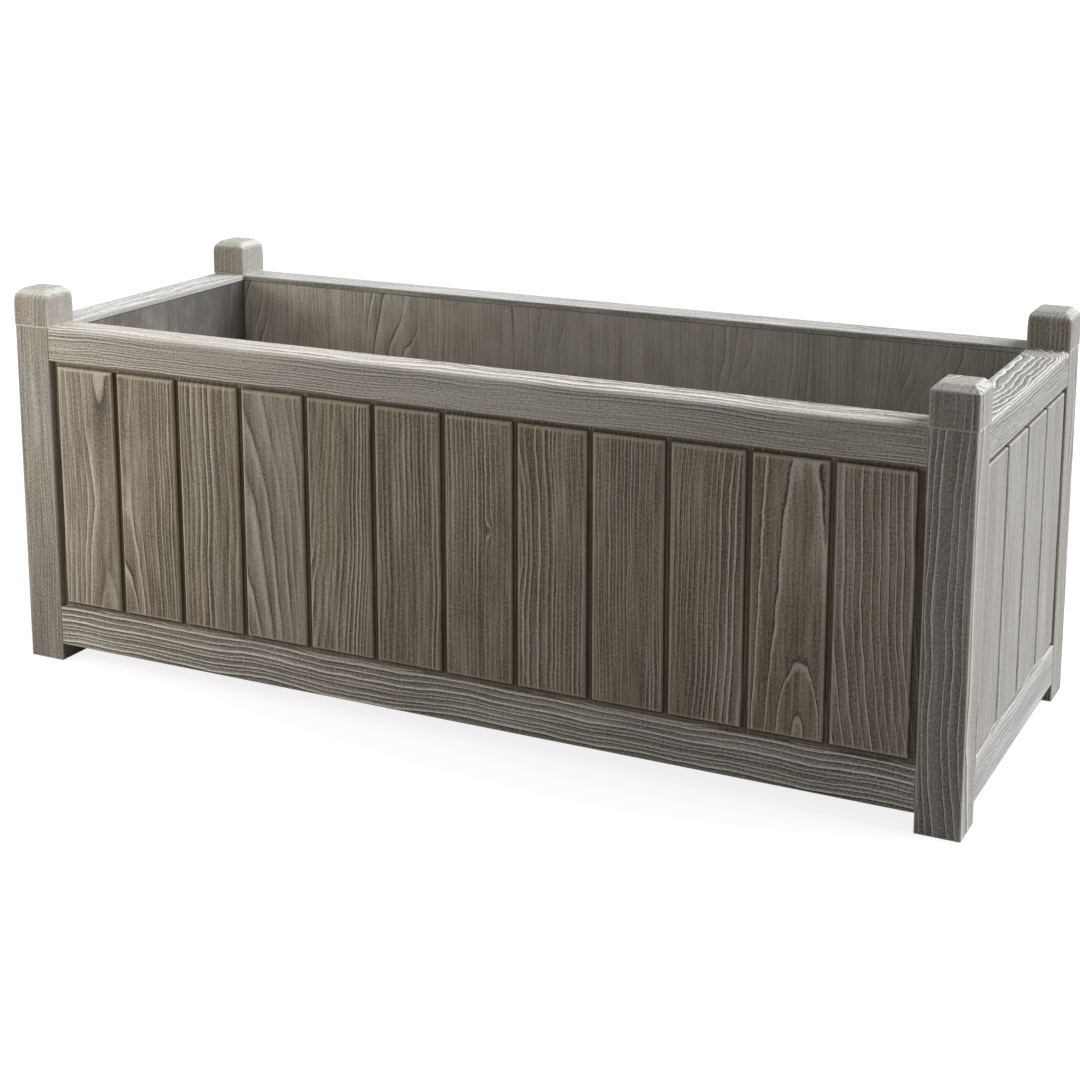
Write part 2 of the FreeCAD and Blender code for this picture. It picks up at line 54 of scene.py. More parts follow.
class Value:
    # A socket that can be used in a sum. Each operator adds a Math node to its graph.
    def __init__(self, graph, socket):
        self.graph = graph
        self.socket = socket

    def maths(self, operation, *others):
        return self.graph.node("ShaderNodeMath", {"operation": operation}, self, *others)

    def __add__(self, other):
        return self.maths("ADD", other)

    def __sub__(self, other):
        return self.maths("SUBTRACT", other)

    def __mul__(self, other):
        return self.maths("MULTIPLY", other)

    def __truediv__(self, other):
        return self.maths("DIVIDE", other)

    def __rsub__(self, other):
        return self.graph.node("ShaderNodeMath", {"operation": "SUBTRACT"}, other, self)

    def __neg__(self):
        return self.maths("MULTIPLY", -1)

    def __gt__(self, other):
        return self.maths("GREATER_THAN", other)

    __radd__ = __add__
    __rmul__ = __mul__

    def atLeast(self, other):
        return self.maths("MAXIMUM", other)

    def atMost(self, other):
        return self.maths("MINIMUM", other)

    def fraction(self):
        return self.maths("FRACT")

    def whole(self):
        return self.maths("FLOOR")

    def root(self):
        return self.atLeast(0).maths("SQRT")

    def sine(self):
        return self.maths("SINE")

    def exponent(self):
        return self.maths("EXPONENT")

    def step(self, low, high):
        # Rises smoothly from 0 to 1 between the two.
        settings = {"interpolation_type": "SMOOTHSTEP"}
        return self.graph.node("ShaderNodeMapRange", settings, self, low, high, 0, 1)

    def part(self, name):
        # Another output of the node that this value comes from.
        outputs = self.socket.node.outputs
        return Value(self.graph, next(s for s in outputs if s.name == name and s.enabled))


class Graph:
    def __init__(self, tree):
        self.tree = tree

    def node(self, kind, settings=None, *values, **named):
        # Adds a node: its settings first, then values or links for its sockets, in order or by name.
        made = self.tree.nodes.new(kind)
        for name, setting in (settings or {}).items():
            setattr(made, name, setting)
        shown = [s for s in made.inputs if s.enabled]
        pairs = list(zip(shown, values))
        for name, value in named.items():
            label = name.replace("_", " ")
            pairs.append((next(s for s in shown if s.name == label), value))
        for socket, value in pairs:
            if isinstance(value, Value):
                self.tree.links.new(value.socket, socket)
            elif value is not None:
                socket.default_value = value
        outputs = [s for s in made.outputs if s.enabled]
        return Value(self, outputs[0]) if outputs else None

    def vector(self, across, along, out):
        return self.node("ShaderNodeCombineXYZ", None, across, along, out)

    def noise(self, place, detail, scale=1):
        # Noise of a place, from 0 to 1.
        return self.node("ShaderNodeTexNoise", None, Vector=place, Scale=scale, Detail=detail)

    def noiseAlong(self, place):
        # Noise of one number, from -1 to 1.
        made = self.node("ShaderNodeTexNoise", {"noise_dimensions": "1D"}, W=place, Scale=1, Detail=1)
        return made * 2 - 1

    def mix(self, share, first, second):
        return self.node("ShaderNodeMix", {"data_type": "RGBA"}, Factor=share, A=first, B=second)


def emptyGraph(owner):
    # A graph for a material or a world, without the nodes that it is made with.
    owner.use_nodes = True
    owner.node_tree.nodes.clear()
    return Graph(owner.node_tree)


# Growing the timber

# How the wood has grown and worn, and the shade painted on it. The tree takes these by name, and a piece
# may set its own.
growth = {
    "Seed": 0.0,
    "Ring Spacing": 0.0055,
    "Ring Start": 0.0,
    "Spread": 0.0,
    "Pith Across": 0.16,
    "Pith Depth": 0.06,
    "Lean Across": 0.0,
    "Lean Depth": 0.0,
    "Bow": 0.0,
    "Wander": 0.003,
    "Ripple": 0.0014,
    "Jitter": 0.0009,
    "Uneven": 0.9,
    "Peel": 0.0,
    "Peel Length": 0.13,
    "Knot Across": 0.0,
    "Knot Along": 0.0,
    "Knot Size": 0.0,
    "Knot Push": 1.4,
    "Ridge": 0.5,
    "Relief": 0.00055,
    "Contrast": 0.8,
    "Patchy": 0.7,
    "Tone": 0.5,
    "Shade": 0.5,
    "Painted Shade Bow": 0.0,
    "Groove Shade Depth": 1.0,
    "Shade Ramp From": 9.0,
    "Shade Ramp To": 10.0,
}
# Slow changes along a line: waves to a metre or to a ring, how far a seed of one moves them, where
# they start, and their amount.
drifts = {
    "aside": (7, 13.7, 0, 1),
    "deeper": (7, 29.3, 50, 1),
    "yearly": (0.55, 5.9, 0, 0.5),
    "slowly": (0.13, 8.3, 0, 1.5),
}
# Uneven places: waves to a metre across and along the grain, the noise's detail, and how far a seed
# of one moves them across and into the wood.
patterns = {
    "ripple": (24, 7, 2.0, 7.1, 3.3),
    "jitter": (120, 50, 1.0, 5.3, 0),
    "patch": (30, 4, 1.0, 11, 0),
    "fleck": (620, 95, 1.0, 0, 0),
}
# The widths of a year's pale line, before and after its peak, for each unit of its ridge value.
ridgeShape = {"rise": 0.8, "drop": 0.3}
# A year's ridge rises gently from its start and steeply near its peak. It falls away after a part,
# tail, of what is left of the year.
yearShape = {"start": 0.15, "gentle": 0.4, "steep": 0.6, "tail": 0.4}
knotShape = {"stretch": 0.42, "least": 1e-4}
peelShape = {"lean": 4}
# What the brush takes away, as shares of the relief. Arrises are found by the angle between faces.
brushWear = {
    "hollows": 0.85,
    "fleck": 0.15,
    "smoothFrom": 0.40,
    "smoothTo": 0.62,
    "arrisFrom": 0.02,
    "arrisTo": 0.14,
    "arrisHold": 0.92,
    "arris": 0.45,
}
# Painted shade fills a groove between these shares of its depth.
grooveShadeSpan = (0.35, 0.95)
# How far a seed of one moves the rings, and the marks of the finish.
seedSteps = {"ring": 31, "grain": 0.37}
hardAngle = math.radians(50)


def timberTree():
    tree = bpy.data.node_groups.new("timber", "GeometryNodeTree")
    face = tree.interface
    face.new_socket("Blank", in_out="INPUT", socket_type="NodeSocketGeometry")
    for name, value in growth.items():
        face.new_socket(name, in_out="INPUT", socket_type="NodeSocketFloat").default_value = value
    face.new_socket("Material", in_out="INPUT", socket_type="NodeSocketMaterial")
    face.new_socket("Timber", in_out="OUTPUT", socket_type="NodeSocketGeometry")
    graph = Graph(tree)
    blank = graph.node("NodeGroupInput")
    given = {name: blank.part(name) for name in [*growth, "Material"]}
    seed = given["Seed"]
    place = graph.node("GeometryNodeInputPosition")
    across = graph.node("ShaderNodeSeparateXYZ", None, place)
    along, out = across.part("Y"), across.part("Z")

    def drift(name, line):
        waves, seedStep, start, amount = drifts[name]
        return graph.noiseAlong(line * waves + seed * seedStep + start) * amount

    def uneven(name):
        wavesAcross, wavesAlong, detail, seedAcross, seedDepth = patterns[name]
        moved = graph.vector(
            across * wavesAcross + seed * seedAcross,
            along * wavesAlong,
            out * wavesAcross + seed * seedDepth,
        )
        return graph.noise(moved, detail)

    # The pith wanders as it goes up the trunk, and the rings lie round it.
    aside = given["Wander"] * drift("aside", along)
    fromPith = across - given["Pith Across"] - given["Lean Across"] * along - aside
    sweep = given["Lean Depth"] * along + given["Bow"] * along * along
    underFace = out + given["Pith Depth"] + sweep + given["Wander"] * drift("deeper", along)
    radius = (fromPith * fromPith + underFace * underFace).root()
    pithToFace = given["Pith Across"] * given["Pith Across"] + given["Pith Depth"] * given["Pith Depth"]
    radius = radius - pithToFace.root()
    radius = radius + given["Ripple"] * (uneven("ripple") * 2 - 1)
    radius = radius + given["Jitter"] * (uneven("jitter") * 2 - 1)
    # A peeled veneer comes near the same ring again and again.
    turned = across * (2 * math.pi) / given["Peel Length"] + along * peelShape["lean"] + seed
    radius = radius + given["Peel"] * turned.sine()
    # A knot pushes the rings aside, and they stretch along the grain there.
    knotSize = given["Knot Size"].atLeast(knotShape["least"])
    beside = (across - given["Knot Across"]) / knotSize
    above = (along - given["Knot Along"]) * knotShape["stretch"] / knotSize
    knot = (-(beside * beside + above * above)).exponent()
    radius = radius + given["Knot Size"] * given["Knot Push"] * knot
    even = radius / given["Ring Spacing"] * (1 + given["Spread"] * radius)
    changes = given["Uneven"] * (drift("yearly", even) + drift("slowly", even))
    ring = even + given["Ring Start"] + changes + seed * seedSteps["ring"]

    # The late wood of each year stands up as a ridge, with a sudden drop on its outer side.
    year = ring.fraction()
    peak = 1 - given["Ridge"] * ridgeShape["drop"]
    gentle = year.step(yearShape["start"], peak) * yearShape["gentle"]
    steep = year.step(peak - given["Ridge"] * ridgeShape["rise"], peak) * yearShape["steep"]
    tail = peak * (1 - yearShape["tail"]) + yearShape["tail"]
    ridge = (gentle + steep) * (1 - year.step(tail, 1))
    # In some places the brush has left the surface almost smooth.
    rough = uneven("patch").step(brushWear["smoothFrom"], brushWear["smoothTo"])
    brushed = 1 - given["Patchy"] * (1 - rough)
    worn = (1 - ridge) * brushed * brushWear["hollows"] + uneven("fleck") * brushWear["fleck"]
    # Arrises are worn evenly, so that they stay straight.
    corner = graph.node("GeometryNodeInputMeshEdgeAngle")
    angle = corner.part("Unsigned Angle")
    arris = angle.step(brushWear["arrisFrom"], brushWear["arrisTo"]) * brushWear["arrisHold"]
    worn = given["Relief"] * (worn * (1 - arris) + arris * brushWear["arris"])

    # What the finish needs is noted before the surface is worn.
    # Painted shade that darkens a piece across its width, towards one end of a ramp.
    rampedShade = (across - given["Shade Ramp From"]) / (given["Shade Ramp To"] - given["Shade Ramp From"])
    # Painted shade deep in grooves and shadow gaps, where the surface sinks below the face.
    grooveShade = (-out / given["Groove Shade Depth"]).step(*grooveShadeSpan)
    noted = graph.node("GeometryNodeSetShadeSmooth", {"domain": "FACE"}, blank, Shade_Smooth=True)
    noted = graph.node(
        "GeometryNodeSetShadeSmooth", {"domain": "EDGE"}, noted, angle > hardAngle, False
    )
    for kind, name, value in (
        ("FLOAT", "corner", corner.part("Signed Angle")),
        ("FLOAT", "ring", ring),
        ("FLOAT", "ridgeShare", given["Ridge"]),
        ("FLOAT", "contrast", given["Contrast"] * brushed),
        ("FLOAT", "tone", given["Tone"]),
        # A negative bow paints shade towards a piece's ends, so that its middle looks lit.
        ("FLOAT", "shade", given["Shade"] + given["Painted Shade Bow"] * along * along),
        ("FLOAT", "paintedShade", grooveShade + rampedShade.step(0, 1)),
        ("FLOAT_VECTOR", "grain", graph.vector(across + seed * seedSteps["grain"], along, out)),
    ):
        noted = graph.node(
            "GeometryNodeStoreNamedAttribute", {"data_type": kind}, noted, Name=name, Value=value
        )
    inwards = graph.node(
        "ShaderNodeVectorMath",
        {"operation": "SCALE"},
        graph.node("GeometryNodeInputNormal"),
        Scale=-worn,
    )
    shaped = graph.node("GeometryNodeSetPosition", None, noted, Offset=inwards)
    shaped = graph.node("GeometryNodeRealizeInstances", None, shaped)
    shaped = graph.node("GeometryNodeSetMaterial", None, shaped, Material=given["Material"])
    graph.node("NodeGroupOutput", None, shaped)
    return tree


# Finishes

def tint(red, green, blue):
    # A colour as it looks on the screen, from 0 to 255.
    def linear(level):
        level /= 255
        return level / 12.92 if level <= 0.04045 else ((level + 0.055) / 1.055) ** 2.4
    return linear(red), linear(green), linear(blue), 1.0


# The colours of a timber worn by the weather, with the painted light and shade put on it, and how strongly
# its marks show. A finish may change them.
weathered = {
    "hollow": tint(98, 89, 77),
    "body": tint(148, 140, 126),
    "ridge": tint(218, 212, 200),
    "brown": tint(142, 124, 96),
    "pore": tint(60, 53, 45),
    "pale": tint(208, 205, 199),
    # edge is the colour of arrises: partly worn wood and partly painted highlight.
    "edge": tint(212, 207, 197),
    # The colour of painted shade in grooves and on the linings.
    "grime": tint(92, 77, 60),
    "edges": 0.45,
    "edgeGain": 1.3,
    "bleached": 0.3,
    "skyward": 0.75,
    "topDirt": 0.0,
    "sunSideLight": 0.18,
    "fibre": 1.0,
    "fleck": 1.0,
    "blotch": 0.0,
    "rough": 0.82,
}
# Fine marks in the wood: waves to a metre across and along the grain, and the noise's detail.
marks = {
    "fleck": (640, 400, 2.0),
    "pore": (900, 150, 1.0),
    "streak": (300, 8, 2.0),
    "fibre": (620, 20, 2.0),
    "patch": (22, 5, 2.0),
    "cloud": (60, 6, 2.0),
    "blotch": (42, 34, 3.0),
}
# Where a layer starts to show and where it is at its full strength.
spans = {
    "sunny": (0.80, 0.98),
    "band": (0.32, 0.68),
    "brown": (0.40, 0.66),
    "top": (0.80, 0.97),
    "ridgeShadow": (0.97, 1),
    "pore": (0.62, 0.80),
}
# How strongly each layer shows.
strengths = {
    "sunFibre": 0.55,
    "sunContrast": 0.45,
    "sunSpeckle": 0.4,
    "lineFray": 0.08,
    "lineChange": 0.6,
    "lineLeast": 0.4,
    "band": 0.35,
    "brown": 0.4,
    "paleCloud": 2.4,
    "darkCloud": 3.4,
    "paleGrain": 1.6,
    "darkGrain": 2.1,
    "rampMost": 2.2,
    "ridgeShadowOwn": 0.6,
    "ridgeShadowAll": 0.25,
    "ridgeShadowMost": 0.9,
    "crestMost": 0.95,
    "speckle": 1.8,
    "paleSpeckle": 0.8,
    "pore": 0.35,
    "creaseShade": -2.0,
    "creaseShadeMost": 0.6,
    "paintedShade": 0.6,
}
# Waves of darker years to a ring, what clouds leave plain on each side of the middle, and the width of the
# edge of the painted light on upward faces.
bandWaves = 0.21
cloudGap = 0.02
skywardWidth = 0.23
woodGloss = {"specular": 0.35, "crest": 0.12}
woodBump = {"fleck": 0.4, "pore": 0.15, "fibre": 0.45, "strength": 0.5, "depth": 0.0007}


def timberFinish(name, **changes):
    look = {**weathered, **changes}
    material = bpy.data.materials.new(name)
    graph = emptyGraph(material)

    def noted(attribute):
        return graph.node("ShaderNodeAttribute", {"attribute_name": attribute})

    grain = noted("grain").part("Vector")
    ring, corner, share, contrast, tone, shade, paintedShade = (
        noted(attribute).part("Fac")
        for attribute in ("ring", "corner", "ridgeShare", "contrast", "tone", "shade", "paintedShade")
    )

    def marked(kind):
        wavesAcross, wavesAlong, detail = marks[kind]
        waves = (wavesAcross, wavesAlong, wavesAcross)
        moved = graph.node("ShaderNodeVectorMath", {"operation": "MULTIPLY"}, grain, waves)
        return graph.noise(moved, detail)

    kinds = ("fleck", "pore", "streak", "fibre", "patch", "cloud")
    fleck, pore, streak, fibre, patch, cloud = map(marked, kinds)

    normal = graph.node("ShaderNodeNewGeometry").part("Normal")
    sideways = graph.node("ShaderNodeSeparateXYZ", None, normal)
    upwards = sideways.part("Z")
    # Faces towards +X, the sun lamp's side, get painted light: below, their grain, contrast and speckle are
    # calmed as if washed out by the lamp, and they are mixed towards pale.
    sunny = sideways.step(*spans["sunny"])
    calm = (1 - sunny * strengths["sunFibre"]) * look["fibre"]
    contrast = contrast * (1 - sunny * strengths["sunContrast"])

    # Each year goes slowly from dark to light, ends in a thin pale line and then drops. The pale line is
    # partly a pale wash on the ridge and partly a painted highlight, and the dark line at the drop is a
    # painted shadow under the ridge.
    year = (ring + (fleck - 0.5) * strengths["lineFray"]).fraction()
    peak = 1 - share * ridgeShape["drop"]
    ramp = year.step(0.0, peak)
    crest = year.step(peak - share * ridgeShape["rise"], peak) * (1 - year.step(peak, 1))
    ridgeShadow = (1 - year.step(0.0, share * 0.5)).atLeast(year.step(*spans["ridgeShadow"]))
    lineNoise = graph.node("ShaderNodeTexWhiteNoise", {"noise_dimensions": "1D"}, ring.whole())
    change = lineNoise * lineNoise * strengths["lineChange"] + strengths["lineLeast"]
    strength = change * contrast
    ridgeShadowShare = ridgeShadow * (strength * strengths["ridgeShadowOwn"] + contrast * strengths["ridgeShadowAll"])
    band = graph.noiseAlong(ring * bandWaves) * 0.5 + 0.5
    brown = patch.step(*spans["brown"]) * strengths["brown"] + (tone - 0.5)

    # The layers of the finish from the bottom up, each with its share and its colour.
    layers = [
        (band.step(*spans["band"]) * strengths["band"], "hollow"),
        (brown.atLeast(0), "brown"),
        ((cloud - (0.5 + cloudGap)).atLeast(0) * calm * strengths["paleCloud"], "ridge"),
        ((0.5 - cloudGap - cloud).atLeast(0) * calm * strengths["darkCloud"], "hollow"),
    ]
    for grainy in (streak, fibre):
        layers += [
            ((grainy - 0.5).atLeast(0) * calm * strengths["paleGrain"], "ridge"),
            ((0.5 - grainy).atLeast(0) * calm * strengths["darkGrain"], "pore"),
        ]
    if look["blotch"]:
        blotch = (marked("blotch") - 0.5) * look["blotch"]
        layers += [(blotch.atLeast(0), "ridge"), ((-blotch).atLeast(0), "hollow")]
    # Painted light: faces that look up are mixed towards pale, and further on so is the side towards the
    # sun lamp.
    skyward = upwards.step(look["skyward"], look["skyward"] + skywardWidth)
    layers.append((skyward * look["bleached"], "pale"))
    # Flat tops go back towards the body colour.
    if look["topDirt"]:
        layers.append((upwards.step(*spans["top"]) * look["topDirt"], "body"))
    speckle = (1 - sunny * strengths["sunSpeckle"]) * (look["fleck"] * strengths["speckle"])
    layers += [
        # Painted light on the side towards the sun lamp.
        (sunny * look["sunSideLight"], "pale"),
        ((shade - 0.5).atLeast(0), "pale"),
        ((0.5 - shade).atLeast(0), "hollow"),
        ((1 - ramp) * contrast.atMost(strengths["rampMost"]) * share, "hollow"),
        (ridgeShadowShare.atMost(strengths["ridgeShadowMost"]), "pore"),
        ((crest * strength).atMost(strengths["crestMost"]), "ridge"),
        ((0.5 - fleck).atLeast(0) * speckle, "pore"),
        ((fleck - 0.5).atLeast(0) * speckle * strengths["paleSpeckle"], "ridge"),
        (pore.step(*spans["pore"]) * strengths["pore"], "pore"),
        # Convex arrises are lightened, partly wear and partly painted highlight; the linings take a dark
        # colour here, painted shade under the rails' lip.
        ((corner * look["edgeGain"]).atLeast(0).atMost(look["edges"]), "edge"),
        # Inside corners are darkened: painted shade in creases.
        ((corner * strengths["creaseShade"]).atLeast(0).atMost(strengths["creaseShadeMost"]), "pore"),
        # Painted shade in grooves, shadow gaps and towards the shaded ends of the linings.
        (paintedShade * strengths["paintedShade"], "grime"),
    ]
    colour = look["body"]
    for layerShare, paint in layers:
        colour = graph.mix(layerShare, colour, look[paint])

    height = fleck * woodBump["fleck"] + pore * woodBump["pore"] + fibre * woodBump["fibre"]
    finish = graph.node(
        "ShaderNodeBsdfPrincipled",
        None,
        Base_Color=colour,
        Roughness=look["rough"] - crest * woodGloss["crest"],
        Normal=graph.node(
            "ShaderNodeBump",
            None,
            Strength=woodBump["strength"],
            Distance=woodBump["depth"],
            Height=height,
        ),
        Specular_IOR_Level=woodGloss["specular"],
    )
    graph.node("ShaderNodeOutputMaterial", None, finish)
    return material


steelLook = {
    "waves": 900,
    "detail": 3.0,
    "bright": tint(176, 174, 168),
    "dull": tint(120, 116, 108),
    "dulled": (0.4, 0.7),
    "rough": 0.3,
    "rougher": 0.3,
}


def steelFinish():
    material = bpy.data.materials.new("brushedSteel")
    graph = emptyGraph(material)
    place = graph.node("ShaderNodeTexCoord").part("Object")
    wear = graph.noise(place, steelLook["detail"], steelLook["waves"])
    finish = graph.node(
        "ShaderNodeBsdfPrincipled",
        None,
        Base_Color=graph.mix(wear.step(*steelLook["dulled"]), steelLook["bright"], steelLook["dull"]),
        Metallic=1.0,
        Roughness=wear * steelLook["rougher"] + steelLook["rough"],
    )
    graph.node("ShaderNodeOutputMaterial", None, finish)
    return material


# Drawing the blanks

sideTurn = {"front": 0, "right": 90, "back": 180, "left": 270}


def facing(turn, level=False):
    # Local X across, Y along the grain and Z out of the face, turned to a side of the planter.
    upright = Matrix.Rotation(math.radians(90), 4, "X")
    if level:
        upright = Matrix.Rotation(math.radians(-90), 4, "Y") @ upright
    return Matrix.Rotation(math.radians(turn), 4, "Z") @ upright


def fit(node, turn):
    # The node's size along the turned axes, and the turn moved to the middle of its outer face.
    back = turn.inverted()
    corners = [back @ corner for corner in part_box(node)]
    low = Vector(map(min, *corners))
    high = Vector(map(max, *corners))
    middle = Vector(((low.x + high.x) / 2, (low.y + high.y) / 2, high.z))
    return high - low, turn @ Matrix.Translation(middle)


tiny = 1e-6


def spread(start, end, step):
    # Evenly spaced places from start up to, but not including, end.
    count = max(1, math.ceil(abs(end - start) / step - tiny))
    return [start + (end - start) * number / count for number in range(count)]


def stationsAlong(ends, flat, step):
    # Places along the grain: the ends' own on both halves, and even ones on the flat between them.
    places = [*ends, *(-place for place in ends), *spread(-flat, flat, step)]
    return sorted({round(place, 7) for place in places})


def outline(corners, arcSteps=4):
    # Each corner is a place across, a depth, a rounding and the step to the next corner.
    points = []
    for number, (across, depth, rounding, step) in enumerate(corners):
        here = Vector((across, depth))
        before = Vector(corners[number - 1][:2])
        after = Vector(corners[(number + 1) % len(corners)][:2])
        arriving = (here - before).normalized()
        leaving = (after - here).normalized()
        if rounding:
            centre = here + (leaving - arriving) * rounding
            for part in range(arcSteps):
                angle = math.radians(90) * part / arcSteps
                points.append(centre + (arriving * math.sin(angle) - leaving * math.cos(angle)) * rounding)
        start = here + leaving * rounding
        end = after - leaving * corners[(number + 1) % len(corners)][2]
        length = (end - start).length
        points += [start + leaving * place for place in spread(0, length, step)]
    return [tuple(point) for point in points]


def barMesh(section, stations, trim):
    # Sweeps the section along the grain. At each station trim moves each of its points.
    count = len(section)
    points = []
    for along in stations:
        for across, depth in section:
            across, depth = trim(across, depth, along)
            points.append((across, along, -depth))
    faces = []
    for row in range(len(stations) - 1):
        for number in range(count):
            start, end = row * count + number, row * count + (number + 1) % count
            faces.append((start, end, end + count, start + count))
    faces.append(tuple(range(count)))
    faces.append(tuple(range(len(points) - count, len(points))))
    mesh = bpy.data.meshes.new("blank")
    mesh.from_pydata(points, [], faces)
    shell = bmesh.new()
    shell.from_mesh(mesh)
    bmesh.ops.remove_doubles(shell, verts=shell.verts, dist=tiny)
    bmesh.ops.recalc_face_normals(shell, faces=shell.faces)
    shell.to_mesh(mesh)
    shell.free()
    return mesh


timber = timberTree()
madeTimber = []


def grow(node, blank, placement, material, slot, **figure):
    # Grows the timber in a blank and puts it in the node's place. Each piece has its own seed.
    piece = bpy.data.objects.new(f"timber_{node}", blank)
    scene.collection.objects.link(piece)
    growing = piece.modifiers.new("timber", "NODES")
    growing.node_group = timber
    values = {**growth, "Seed": len(madeTimber) + 1.0, **figure, "Material": material}
    for socket in timber.interface.items_tree:
        if socket.in_out == "INPUT" and socket.name in values:
            growing[socket.identifier] = values[socket.name]
    bpy.context.view_layer.update()
    evaluated = piece.evaluated_get(bpy.context.evaluated_depsgraph_get())
    mesh = bpy.data.meshes.new_from_object(evaluated)
    piece.modifiers.remove(growing)
    piece.data = mesh
    mesh.transform(placement)
    mesh.name = piece.name
    bpy.data.meshes.remove(blank)
    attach(piece, "root")
    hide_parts(node)
    madeTimber.append(piece)


# Boards: tongued and grooved cores with proud face plates

boardSizes = {
    "plate": 0.005,
    "thick": 0.016,
    "gap": 0.006,
    "joint": 0.0003,
    "shadow": 0.005,
    "reach": 0.007,
    "groove": 0.008,
    "tongueDepth": 0.0085,
    "tongue": 0.004,
    "slack": 0.0002,
    "arris": 0.0026,
    "ease": {"front": 0.0034, "back": 0.0034, "right": 0.0008, "left": 0.0034},
    "margin": {"front": 0.005, "back": 0.005, "right": 0.002, "left": 0.002},
    "easeAngles": (0, 22, 42, 60, 76, 90),
    "arcSteps": 6,
    "fine": 0.00065,
    "coarse": 0.004,
    "beside": 0.0008,
    "alongStep": 0.006,
    "wall": 0.00005,
}


def boardBlank(side, size, first, last):
    b = boardSizes
    half = size.x / 2
    left = -half + (b["reach"] if first else 0)
    right = half - b["reach"]
    edge = b["gap"] / 2 - b["joint"] / 2
    postEdge = b["margin"][side] - b["joint"] + b["gap"] / 2
    plateLeft = left + (postEdge if first else edge)
    plateRight = right - (postEdge if last else edge)
    top, bottom = b["tongueDepth"], b["tongueDepth"] + b["tongue"]
    corners = [
        (plateLeft, 0, b["arris"], b["fine"]),
        (plateRight, 0, b["arris"], b["fine"] * 2),
        (plateRight, b["plate"], 0, b["fine"] * 2),
        (right, b["plate"], 0, b["coarse"]),
        (right, top, 0, b["coarse"]),
        (half, top, 0, b["coarse"]),
        (half, bottom, 0, b["coarse"]),
        (right, bottom, 0, b["coarse"]),
        (right, b["thick"], 0, b["coarse"]),
        (left, b["thick"], 0, b["coarse"]),
    ]
    if first:
        corners += [
            (left, bottom, 0, b["coarse"]),
            (-half, bottom, 0, b["coarse"]),
            (-half, top, 0, b["coarse"]),
            (left, top, 0, b["coarse"]),
        ]
    else:
        corners += [
            (left, bottom + b["slack"], 0, b["coarse"]),
            (left + b["groove"], bottom + b["slack"], 0, b["coarse"]),
            (left + b["groove"], top - b["slack"], 0, b["coarse"]),
            (left, top - b["slack"], 0, b["coarse"]),
        ]
    corners += [
        (left, b["plate"], 0, b["fine"] * 2),
        (plateLeft, b["plate"], 0, b["fine"] * 2),
    ]
    coreEnd = size.y / 2 - b["reach"]
    plateEnd = coreEnd - b["shadow"]
    wall = b["wall"]
    ease = b["ease"][side]
    tongueLeft = left if first else left + b["groove"]
    tongueRight = right if last else half

    def trim(across, depth, along):
        beyond = abs(along)
        if beyond > coreEnd + wall / 2:
            return min(max(across, tongueLeft), tongueRight), min(max(depth, top), bottom)
        if beyond > plateEnd + wall / 2:
            return across, max(depth, b["plate"])
        inside = max(ease - (plateEnd - beyond), 0)
        return across, max(depth, ease - math.sqrt(max(ease**2 - inside**2, 0)))

    # The ends of the face plate are rounded over.
    flat = plateEnd - ease - b["beside"]
    rounded = [ease * (1 - math.cos(math.radians(angle))) for angle in b["easeAngles"]]
    ends = [plateEnd - place for place in rounded]
    ends += [flat, plateEnd + wall, coreEnd, coreEnd + wall, size.y / 2]
    return barMesh(outline(corners, b["arcSteps"]), stationsAlong(ends, flat, b["alongStep"]), trim)


# The boards' arrises and the rounded ends of their face plates are strongly lightened, partly wear and
# partly a painted highlight where light from above would catch them.
boardFinish = timberFinish(
    "boardWood",
    body=tint(147, 132, 111),
    hollow=tint(96, 83, 67),
    ridge=tint(212, 201, 184),
    edge=tint(224, 208, 182),
    edgeGain=2.6,
)
planedAndWashedOutFinish = timberFinish(
    "planedAndWashedOutBoardWood", body=tint(147, 139, 128), hollow=tint(100, 93, 84), edgeGain=2.6, fibre=0.8
)

